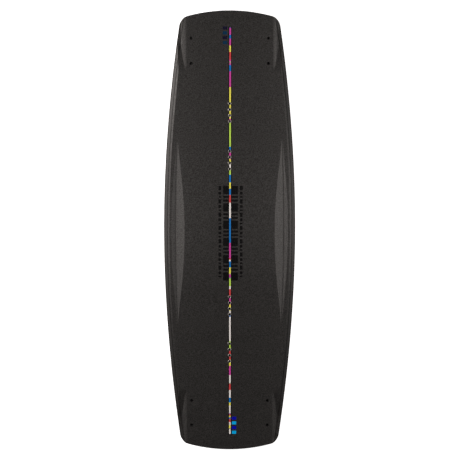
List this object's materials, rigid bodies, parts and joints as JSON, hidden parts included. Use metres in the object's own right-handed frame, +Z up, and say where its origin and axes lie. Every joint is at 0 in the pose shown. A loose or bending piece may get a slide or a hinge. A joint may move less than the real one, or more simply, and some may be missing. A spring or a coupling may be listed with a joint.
{
  "type": "wakeboard",
  "caption": "Bare twin-tip wakeboard: upturned ends, rounded-square tips, bevelled rails with scooped grooves, centre-line binding inserts and fin bolt holes.",
  "frame": {"origin": "middle of the flat of the base, on the surface the board rests on", "axes": "+Y along the board towards the nose, +X to its right seen from above, +Z up out of the deck"},
  "size_m": [0.425, 1.41, 0.0717],
  "materials": {
    "topsheet": "matt black printed polymer sheet with a fine grain",
    "laminate": "cured glass-fibre laminate",
    "core_foam": "closed-cell polyurethane foam",
    "base_sheet": "smooth black polymer sheet",
    "rail": "cast black urethane",
    "tip_fill": "cast black urethane",
    "insert_pad": "glass-fibre plate",
    "insert_steel": "turned stainless steel",
    "fin_block": "high-density foam",
    "sleeve": "black nylon tube"
  },
  "bodies": {
    "root": {"topsheet": "topsheet", "top_laminate": "laminate", "foam_core": "core_foam", "bottom_laminate": "laminate", "base_sheet": "base_sheet", "left_rail": "rail", "right_rail": "rail", "nose_tip_fill": "tip_fill", "tail_tip_fill": "tip_fill", "nose_outer_pad": "insert_pad", "nose_outer_inserts": "insert_steel", "nose_inner_pad": "insert_pad", "nose_inner_inserts": "insert_steel", "tail_inner_pad": "insert_pad", "tail_inner_inserts": "insert_steel", "tail_outer_pad": "insert_pad", "tail_outer_inserts": "insert_steel", "nose_left_fin_block": "fin_block", "nose_left_fin_sleeves": "sleeve", "nose_right_fin_block": "fin_block", "nose_right_fin_sleeves": "sleeve", "tail_left_fin_block": "fin_block", "tail_left_fin_sleeves": "sleeve", "tail_right_fin_block": "fin_block", "tail_right_fin_sleeves": "sleeve"}
  },
  "joints": []
}
